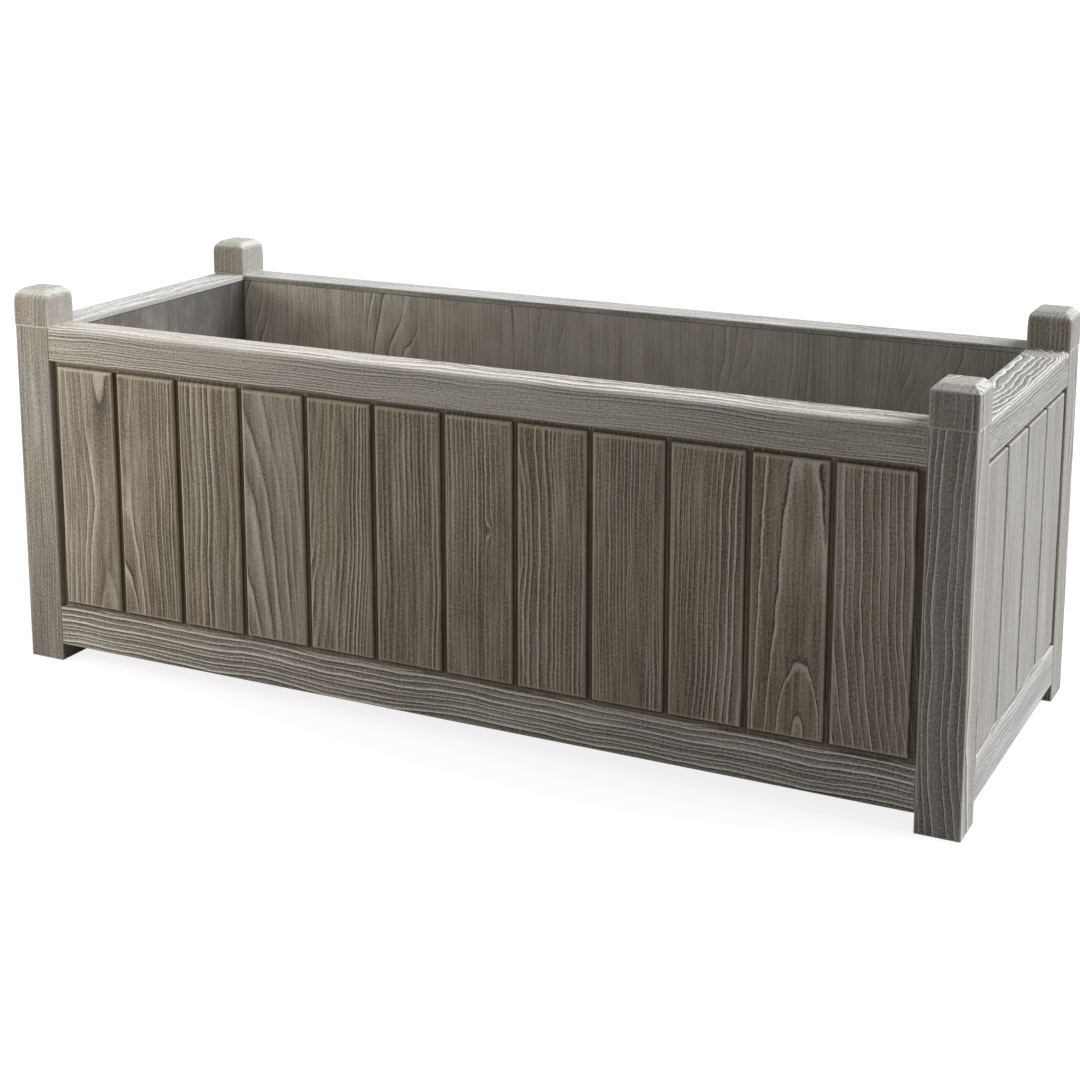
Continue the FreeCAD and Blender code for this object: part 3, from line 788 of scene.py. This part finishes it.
# The figure of each front board, from the left.
boardFigures = [
    {"Ring Spacing": 0.0072, "Pith Across": 0.024, "Pith Depth": 0.024, "Bow": -0.5, "Contrast": 1.3,
     "Tone": 0.35, "Ridge": 0.42, "Shade": 0.56},
    {"Ring Spacing": 0.0060, "Pith Across": -0.036, "Pith Depth": 0.026, "Bow": -0.6, "Lean Depth": 0.03,
     "Contrast": 1.3, "Tone": 0.4, "Ridge": 0.3},
    {"Ring Spacing": 0.0062, "Pith Across": 0.052, "Pith Depth": 0.026, "Bow": -0.3, "Contrast": 1.8,
     "Ridge": 0.42, "Shade": 0.47},
    {"Ring Spacing": 0.0078, "Pith Across": -0.048, "Pith Depth": 0.045, "Lean Depth": 0.13, "Tone": 0.75,
     "Contrast": 1.3, "Shade": 0.68, "Ridge": 0.42},
    {"Ring Spacing": 0.0046, "Pith Across": -0.050, "Pith Depth": 0.030, "Lean Depth": -0.08,
     "Contrast": 1.2, "Tone": 0.6, "Shade": 0.44},
    {"Ring Spacing": 0.0043, "Pith Across": -0.075, "Pith Depth": 0.050, "Contrast": 0.9, "Uneven": 0.6,
     "Shade": 0.33, "Tone": 0.65},
    {"Ring Spacing": 0.0042, "Pith Across": 0.100, "Pith Depth": 0.040, "Knot Across": 0.009,
     "Knot Along": 0.020, "Knot Size": 0.0034, "Contrast": 1.2, "Uneven": 0.6, "Shade": 0.36, "Tone": 0.65},
    {"Ring Spacing": 0.0044, "Pith Across": -0.052, "Pith Depth": 0.030, "Wander": 0.005,
     "Contrast": 1.0, "Shade": 0.42, "Tone": 0.65},
    {"Ring Spacing": 0.0033, "Pith Across": 0.150, "Ripple": 0.002, "Contrast": 1.2, "Uneven": 0.6,
     "Shade": 0.39, "Tone": 0.7},
    {"Ring Spacing": 0.0046, "Pith Across": -0.160, "Spread": -6.0, "Lean Across": 0.03,
     "Contrast": 1.3, "Ridge": 0.36, "Shade": 0.38, "Tone": 0.65},
    {"Ring Spacing": 0.0095, "Ring Start": 0.57, "Pith Across": 0.010, "Pith Depth": 0.047,
     "Lean Depth": 0.0295, "Wander": 0.0006, "Ripple": 0.0012, "Uneven": 0.0, "Knot Across": 0.007,
     "Knot Along": -0.120, "Knot Size": 0.0226, "Knot Push": -0.52, "Ridge": 0.18, "Contrast": 2.2,
     "Tone": 0.6, "Patchy": 0.3, "Shade": 0.49},
    {"Ring Spacing": 0.0074, "Pith Across": -0.200, "Lean Across": -0.05, "Bow": -0.8, "Ridge": 0.22,
     "Wander": 0.005, "Contrast": 2.2, "Uneven": 0.5, "Shade": 0.60, "Tone": 0.75, "Patchy": 0.3},
]
# The other sides take the same figures in turn, and the right side's boards are smoothed with a plane;
# their low grain contrast is partly a painted wash-out of the lamp's light.
firstFigure = {"front": 0, "back": 5, "right": 2, "left": 8}
boardCounts = {"front": 12, "back": 12, "right": 4, "left": 4}
# The grooves between boards and the gaps under the rails are painted dark as shade.
boardGroove = {"Groove Shade Depth": 0.005}
planedAndWashedOut = {"Contrast": 0.4, "Relief": 0.00018, "Shade": 0.46, "Ring Spacing": 0.005, "Tone": 0.1,
          "Patchy": 0.0}


def makeBoards(side, count):
    digits = len(str(count))
    for number in range(count):
        node = f"{side}_board_{number + 1:0{digits}d}"
        size, placement = fit(node, facing(sideTurn[side]))
        blank = boardBlank(side, size, number == 0, number == count - 1)
        figure = {**boardFigures[(number + firstFigure[side]) % len(boardFigures)], **boardGroove}
        finish = boardFinish
        if side == "right":
            figure.update(planedAndWashedOut)
            finish = planedAndWashedOutFinish
        grow(node, blank, placement, finish, "board_wood", **figure)


for side, count in boardCounts.items():
    makeBoards(side, count)
print("boards", len(madeTimber))


# Rails: tenoned into the posts, grooved for the boards and rebated for the lining

railSizes = {
    "tenon": 0.013,
    "tenonDepth": 0.014,
    "tenonThick": 0.012,
    "shoulder": 0.006,
    "groove": 0.008,
    "grooveDepth": 0.0093,
    "grooveWidth": 0.0044,
    "lining": 0.006,
    "lip": 0.006,
    "ledge": 0.008,
    "rim": 0.004,
    "arris": 0.0015,
    "fine": 0.00065,
    "topFace": 0.0008,
    "coarse": 0.004,
    "beside": 0.0008,
    "alongStep": 0.0065,
    "wall": 0.00005,
}


def railBlank(level, size):
    r = railSizes
    half, back = size.x / 2, size.z
    rebate = back - r["lining"]
    near, far = r["grooveDepth"], r["grooveDepth"] + r["grooveWidth"]
    if level == "top":
        corners = [
            (-half, 0, r["arris"], r["fine"]),
            (half, 0, r["rim"], r["topFace"]),
            (half, back, r["arris"], r["coarse"] / 4),
            (half - r["lip"], back, 0, r["coarse"]),
            (half - r["lip"], rebate, 0, r["coarse"]),
            (-half, rebate, 0, r["coarse"]),
            (-half, far, 0, r["coarse"]),
            (-half + r["groove"], far, 0, r["coarse"]),
            (-half + r["groove"], near, 0, r["coarse"]),
            (-half, near, 0, r["topFace"]),
        ]
    else:
        corners = [
            (-half, 0, r["arris"], r["fine"]),
            (half, 0, r["arris"], r["topFace"]),
            (half, near, 0, r["coarse"]),
            (half - r["groove"], near, 0, r["coarse"]),
            (half - r["groove"], far, 0, r["coarse"]),
            (half, far, 0, r["coarse"]),
            (half, rebate, 0, r["coarse"]),
            (half - r["ledge"], rebate, 0, r["coarse"]),
            (half - r["ledge"], back, 0, r["coarse"]),
            (-half, back, 0, r["topFace"] * 2),
        ]
    shoulder = size.y / 2 - r["tenon"]
    tenonHalf = half - r["shoulder"]
    tenonFront, tenonBack = r["tenonDepth"], r["tenonDepth"] + r["tenonThick"]

    def trim(across, depth, along):
        if abs(along) < shoulder + r["wall"] / 2:
            return across, depth
        if 0 < depth < tenonFront:
            across = math.copysign(tenonHalf, across)
        return min(max(across, -tenonHalf), tenonHalf), min(max(depth, tenonFront), tenonBack)

    flat = shoulder - r["beside"]
    ends = [flat, shoulder, shoulder + r["wall"], size.y / 2]
    return barMesh(outline(corners), stationsAlong(ends, flat, r["alongStep"]), trim)


railFinish = timberFinish(
    "railWood",
    body=tint(152, 145, 133),
    hollow=tint(90, 82, 71),
    ridge=tint(226, 218, 203),
    pale=tint(208, 200, 187),
)
# The front bottom rail: near-white ridges and very dark hollows, partly its wear and partly painted light
# and shade on its relief.
wornRailPaintedReliefFinish = timberFinish(
    "wornRailPaintedReliefWood", body=tint(145, 133, 117), hollow=tint(68, 59, 48), ridge=tint(250, 241, 225)
)
greyRailFinish = timberFinish(
    "greyRailWood",
    body=tint(151, 147, 138),
    hollow=tint(90, 85, 77),
    ridge=tint(234, 229, 218),
    brown=tint(136, 128, 113),
)
railFigures = {
    "front_top_rail": {"Ring Spacing": 0.0029, "Ridge": 0.45, "Relief": 0.0004, "Contrast": 1.3,
                       "Wander": 0.003, "Ripple": 0.003, "Shade": 1.2, "Painted Shade Bow": -2.6,
                       "Knot Along": 0.03, "Knot Across": -0.018, "Knot Size": 0.010},
    "front_bottom_rail": {"Ring Spacing": 0.0092, "Ridge": 0.28, "Relief": 0.0006, "Contrast": 3.4,
                          "Wander": 0.007, "Ripple": 0.003, "Uneven": 3.2, "Shade": 0.79, "Patchy": 0.35},
    "right_top_rail": {"Ring Spacing": 0.0024, "Contrast": 1.6, "Ridge": 0.40, "Shade": 0.47, "Patchy": 0.2,
                       "Knot Along": -0.15, "Knot Across": 0.017, "Knot Size": 0.009, "Tone": 0.2},
    "right_bottom_rail": {"Ring Spacing": 0.0045, "Contrast": 0.6, "Shade": 0.58, "Tone": 0.2},
    "back_top_rail": {"Ring Spacing": 0.0032, "Contrast": 0.7, "Shade": 0.66, "Tone": 0.2},
    "left_top_rail": {"Ring Spacing": 0.0028, "Contrast": 0.6, "Shade": 0.55, "Tone": 0.3},
}
railFinishes = {"front_top_rail": railFinish, "front_bottom_rail": wornRailPaintedReliefFinish}
for side, turn in sideTurn.items():
    for level in ("top", "bottom"):
        node = f"{side}_{level}_rail"
        size, placement = fit(node, facing(turn, level=True))
        finish = railFinishes.get(node, greyRailFinish)
        grow(node, railBlank(level, size), placement, finish, "rail_wood", **railFigures.get(node, {}))
print("rails", len(madeTimber))


# Posts with eased feet, and the bevelled caps on them

postSizes = {
    "arris": 0.002,
    "foot": 0.0015,
    "topBevel": 0.0003,
    "footAngles": (0, 30, 60, 90),
    "beside": 0.0008,
    "fine": 0.0007,
    "alongStep": 0.006,
}


def postBlank(size):
    p = postSizes
    half, low, high = size.x / 2, -size.y / 2, size.y / 2
    corners = [
        (-half, 0, p["arris"], p["fine"]),
        (half, 0, p["arris"], p["fine"]),
        (half, size.z, p["arris"], p["fine"]),
        (-half, size.z, p["arris"], p["fine"]),
    ]

    def trim(across, depth, along):
        under = max(p["foot"] - (along - low), 0)
        pull = p["foot"] - math.sqrt(p["foot"] ** 2 - under**2)
        pull += max(p["topBevel"] - (high - along), 0)
        return (
            min(max(across, pull - half), half - pull),
            min(max(depth, pull), size.z - pull),
        )

    feet = [low + p["foot"] * (1 - math.cos(math.radians(angle))) for angle in p["footAngles"]]
    start, end = low + p["foot"] + p["beside"], high - p["topBevel"] - p["beside"]
    body = spread(start, end, p["alongStep"])
    return barMesh(outline(corners), feet + body + [end, high - p["topBevel"], high], trim)


capSizes = {
    "bevel": 0.0065,
    "arris": 0.0022,
    "crown": 0.0065,
    "crownHeight": 0.018,
    "cells": 52,
    "rounds": 24,
}


def softened(block, half, soft):
    # The block's points drawn in to its bevelled shape, with every edge rounded alike.
    low = -half + np.array((soft, 0, soft))
    high = half - soft
    slope = half[0] + half[1] - capSizes["bevel"] - soft * math.sqrt(2)

    def intoBox(points):
        return np.clip(points, low, high)

    def underSlopes(axis):
        def moved(points):
            over = np.maximum(np.abs(points[:, axis]) + points[:, 1] - slope, 0) / 2
            points = points.copy()
            points[:, axis] -= np.sign(points[:, axis]) * over
            points[:, 1] -= over
            return points
        return moved

    # The nearest point of the block's core, by turns in its box and under its two pairs of slopes.
    moves = (intoBox, underSlopes(0), underSlopes(2))
    core = block.copy()
    owed = [np.zeros_like(core) for _ in moves]
    for _ in range(capSizes["rounds"]):
        for number, move in enumerate(moves):
            start = core + owed[number]
            core = move(start)
            owed[number] = start - core
    apart = block - core
    length = np.linalg.norm(apart, axis=1, keepdims=True)
    return np.where(length > soft, core + apart / np.maximum(length, soft) * soft, block)


def capBlank(size, crown):
    # A grid on all six faces of a block. Its upper part is rounded by crown, and the rest by the arris.
    shell = bmesh.new()
    bmesh.ops.create_cube(shell, size=1)
    bmesh.ops.subdivide_edges(
        shell, edges=shell.edges, cuts=capSizes["cells"] - 1, use_grid_fill=True
    )
    block = np.array([vertex.co for vertex in shell.verts]) * np.array(size)
    half = np.array(size) / 2
    upper = np.clip((block[:, 1:2] - half[1]) / capSizes["crownHeight"] + 1, 0, 1)
    upper = upper * upper * (3 - 2 * upper)
    sharp = softened(block, half, capSizes["arris"])
    shaped = sharp * (1 - upper) + softened(block, half, crown) * upper
    for vertex, place in zip(shell.verts, shaped):
        vertex.co = Vector(place) - Vector((0, 0, half[2]))
    mesh = bpy.data.meshes.new("blank")
    shell.to_mesh(mesh)
    shell.free()
    return mesh


# Posts and caps: their arrises, and the cap's lower edge above the post, are lightened, partly wear and
# partly painted highlight.
postFinish = timberFinish(
    "postWood", body=tint(150, 143, 131), edge=tint(216, 206, 189), edges=0.9, edgeGain=2.4, fibre=0.55
)
capFinish = timberFinish(
    "capWood",
    body=tint(150, 143, 131),
    edge=tint(216, 206, 189),
    edges=0.95,
    edgeGain=2.4,
    fibre=0.35,
    # The caps' painted light from above reaches down onto their bevels.
    bleached=0.85,
    skyward=0.48,
    topDirt=0.75,
)
postFigures = {
    "front_left": {"Ring Spacing": 0.0040, "Contrast": 0.35, "Wander": 0.004, "Shade": 0.46},
    "front_right": {"Ring Spacing": 0.0080, "Ridge": 0.22, "Contrast": 2.9, "Wander": 0.0035,
                    "Ripple": 0.004, "Pith Across": 0.12, "Bow": 0.35, "Uneven": 1.5, "Shade": 0.60,
                    "Patchy": 0.3},
    "back_right": {"Ring Spacing": 0.0045, "Contrast": 0.8},
    "back_left": {"Ring Spacing": 0.0050, "Contrast": 0.8},
}
capFigures = {
    "front_left": {"Ring Spacing": 0.0036, "Contrast": 0.25, "Shade": 0.44},
    "front_right": {"Ring Spacing": 0.0062, "Contrast": 1.3, "Ridge": 0.25, "Shade": 0.53},
    "back_right": {"Ring Spacing": 0.0032, "Contrast": 0.6},
    "back_left": {"Ring Spacing": 0.0036, "Contrast": 0.25},
}
capGrowth = {"Pith Across": -0.06, "Pith Depth": 0.05, "Ripple": 0.002}
# The front right cap has kept its crisp edges, and the others are worn round.
crisp = "front_right"
for corner, figure in postFigures.items():
    size, placement = fit(f"post_{corner}", facing(0))
    grow(f"post_{corner}", postBlank(size), placement, postFinish, "post_wood", **figure)
    size, placement = fit(f"cap_{corner}", facing(0))
    blank = capBlank(size, capSizes["arris" if corner == crisp else "crown"])
    figure = {**capGrowth, **capFigures[corner]}
    grow(f"cap_{corner}", blank, placement, capFinish, "cap_wood", **figure)
print("posts and caps", len(madeTimber))


# Lining panels, floor planks and bearers

panelSizes = {"fine": 0.0013, "coarse": 0.02, "beside": 0.0008, "alongStep": 0.009}
plankSizes = {"arris": 0.0015, "fine": 0.001, "coarse": 0.01, "beside": 0.0008, "alongStep": 0.008}


def flatBlank(size, sizes, arris):
    half = size.x / 2
    corners = [
        (-half, 0, arris, sizes["fine"]),
        (half, 0, arris, sizes["coarse"]),
        (half, size.z, 0, sizes["coarse"]),
        (-half, size.z, 0, sizes["coarse"]),
    ]
    end = size.y / 2
    flat = end - sizes["beside"]
    stations = [-end, *spread(-flat, flat, sizes["alongStep"]), flat, end]
    return barMesh(outline(corners), stations, lambda across, depth, along: (across, depth))


liningFigure = {"Ring Spacing": 0.0072, "Peel": 0.021, "Peel Length": 0.21, "Ripple": 0.010,
                "Jitter": 0.0, "Pith Across": 1.2, "Relief": 0.0001, "Contrast": 1.3, "Ridge": 0.2,
                "Tone": 0.4, "Patchy": 0.7}
# Each wall of the inside goes darker towards one end, a painted shade of the walls and corners round it.
liningFigures = {
    "front": {"Shade": 0.6, "Shade Ramp From": -0.35, "Shade Ramp To": 0.45},
    "right": {"Shade": 0.6, "Shade Ramp From": 0.0, "Shade Ramp To": 0.16},
    "back": {"Shade Ramp From": -0.36, "Shade Ramp To": -0.06, "Contrast": 1.6, "Ridge": 0.26, "Patchy": 0.75,
             "Knot Across": 0.37, "Knot Along": -0.08, "Knot Size": 0.05, "Knot Push": -1.6},
    "left": {"Shade": 0.45, "Shade Ramp From": -0.02, "Shade Ramp To": 0.16, "Contrast": 0.6, "Tone": 0.15},
}
# The linings' arrises are painted dark: painted shade under the rails' lip.
liningLook = {"edge": tint(60, 54, 46), "sunSideLight": 0, "fibre": 0.8, "blotch": 1.6}
liningFinish = timberFinish("liningWood", **liningLook)
# A lit copy of the lining wood for the back wall: paler, painted light standing in for light thrown back
# onto it.
litLiningFinish = timberFinish(
    "litLiningWood",
    body=tint(234, 225, 209),
    hollow=tint(150, 141, 127),
    ridge=tint(242, 237, 226),
    brown=tint(204, 186, 158),
    pore=tint(84, 77, 66),
    grime=tint(140, 136, 128),
    **liningLook,
)
# A shaded copy of the lining wood for the left wall: darker, painted shade, with a near-black painted
# shadow towards its back corner.
shadedLiningFinish = timberFinish(
    "shadedLiningWood",
    body=tint(112, 105, 96),
    hollow=tint(78, 72, 65),
    ridge=tint(154, 146, 132),
    grime=tint(34, 32, 29),
    **liningLook,
)
floorFinish = timberFinish("floorWood")
for side, turn in sideTurn.items():
    node = f"{side}_lining"
    size, placement = fit(node, facing(turn + 180))
    blank = flatBlank(size, panelSizes, 0)
    figure = {**liningFigure, **liningFigures[side]}
    finish = {"back": litLiningFinish, "left": shadedLiningFinish}.get(side, liningFinish)
    grow(node, blank, placement, finish, "lining_wood", **figure)
# Planks lie along the planter and bearers across it, three of each.
floorParts = {"plank": (90, plankSizes["arris"]), "bearer": (0, 0)}
for part, (turn, arris) in floorParts.items():
    for number in (1, 2, 3):
        node = f"floor_{part}_{number}"
        size, placement = fit(node, Matrix.Rotation(math.radians(turn), 4, "Z"))
        grow(node, flatBlank(size, plankSizes, arris), placement, floorFinish, "floor_wood")
print("lining and floor", len(madeTimber))


# Dowels and screws keep their CAD shapes

for node, finish in (("cap_dowels", postFinish), ("floor_screws", steelFinish())):
    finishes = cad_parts[node].data.materials
    finishes.clear()
    finishes.append(finish)


# Floor, light and camera

studio = {"floorSize": 30, "floor": 0.26, "floorGlow": 0.85, "sky": 0.23, "backdrop": 1.0}
white = (1, 1, 1)


def makeFloor():
    # A grey floor that takes the shadow and looks almost white to the camera.
    bpy.ops.mesh.primitive_plane_add(size=studio["floorSize"])
    floor = bpy.context.object
    floor.name = "studioFloor"
    material = bpy.data.materials.new("studioFloor")
    graph = emptyGraph(material)
    grey = (studio["floor"],) * 3 + (1,)
    paint = graph.node("ShaderNodeBsdfDiffuse", None, Color=grey)
    seen = graph.node("ShaderNodeLightPath").part("Is Camera Ray")
    glow = graph.node("ShaderNodeEmission", None, Color=(*white, 1), Strength=seen * studio["floorGlow"])
    graph.node("ShaderNodeOutputMaterial", None, graph.node("ShaderNodeAddShader", None, paint, glow))
    floor.data.materials.append(material)


def makeWorld():
    # Soft light from all round, with a white backdrop for what is seen or mirrored.
    world = bpy.data.worlds.new("studio")
    scene.world = world
    graph = emptyGraph(world)
    path = graph.node("ShaderNodeLightPath")
    seen = path.part("Is Camera Ray").atLeast(path.part("Is Glossy Ray"))
    seen = seen.atLeast(path.part("Is Transmission Ray"))
    light = graph.node("ShaderNodeBackground", None, Color=(*white, 1), Strength=studio["sky"])
    backdrop = graph.node("ShaderNodeBackground", None, Color=(*white, 1), Strength=studio["backdrop"])
    mixed = graph.node("ShaderNodeMixShader", None, seen, light, backdrop)
    graph.node("ShaderNodeOutputWorld", None, mixed)


lamps = {
    "skylight": {
        "kind": "SUN",
        "place": (0.68, 0.34, 0.64),
        "aim": (0, 0, 0),
        "power": 4.75,
        "colour": (0.93, 0.985, 1.075),
        "angle": 0.9,
    },
    "frontLeft": {
        "kind": "AREA",
        "place": (-0.80, -0.55, 0.42),
        "aim": (-0.42, -0.2, 0.2),
        "power": 3.0,
        "colour": (1.02, 1.0, 0.97),
        "size": 0.3,
    },
    "backLeft": {
        "kind": "AREA",
        "place": (-1.7, 1.3, 1.1),
        "aim": (-0.3, 0, 0.2),
        "power": 14,
        "colour": white,
        "size": 1.0,
    },
}


def makeLamp(name, kind, place, aim, power, colour, **shape):
    data = bpy.data.lights.new(name, kind)
    data.energy = power
    data.color = colour
    for setting, value in shape.items():
        setattr(data, setting, value)
    lamp = bpy.data.objects.new(name, data)
    lamp.location = place
    lamp.rotation_euler = (Vector(aim) - Vector(place)).to_track_quat("-Z", "Y").to_euler()
    lamp.visible_camera = False
    scene.collection.objects.link(lamp)


cameraView = {
    "place": (0.878, -1.754, 0.762),
    "tilt": 78.64,
    "turn": 26.43,
    "sensor": 36,
    "lens": 66.47,
    "shiftUp": -0.2,
}


def makeCamera():
    data = bpy.data.cameras.new("camera")
    data.sensor_width = cameraView["sensor"]
    data.lens = cameraView["lens"]
    data.shift_y = cameraView["shiftUp"]
    camera = bpy.data.objects.new("camera", data)
    camera.location = cameraView["place"]
    camera.rotation_euler = (math.radians(cameraView["tilt"]), 0, math.radians(cameraView["turn"]))
    scene.collection.objects.link(camera)
    scene.camera = camera


makeFloor()
makeWorld()
for name, lamp in lamps.items():
    makeLamp(name, **lamp)
makeCamera()
scene.view_settings.view_transform = "Standard"
print("floor, lamps", len(lamps), "and camera")

triangles = sum(len(face.vertices) - 2 for piece in madeTimber for face in piece.data.polygons)
print("timber pieces", len(madeTimber), "triangles", triangles)
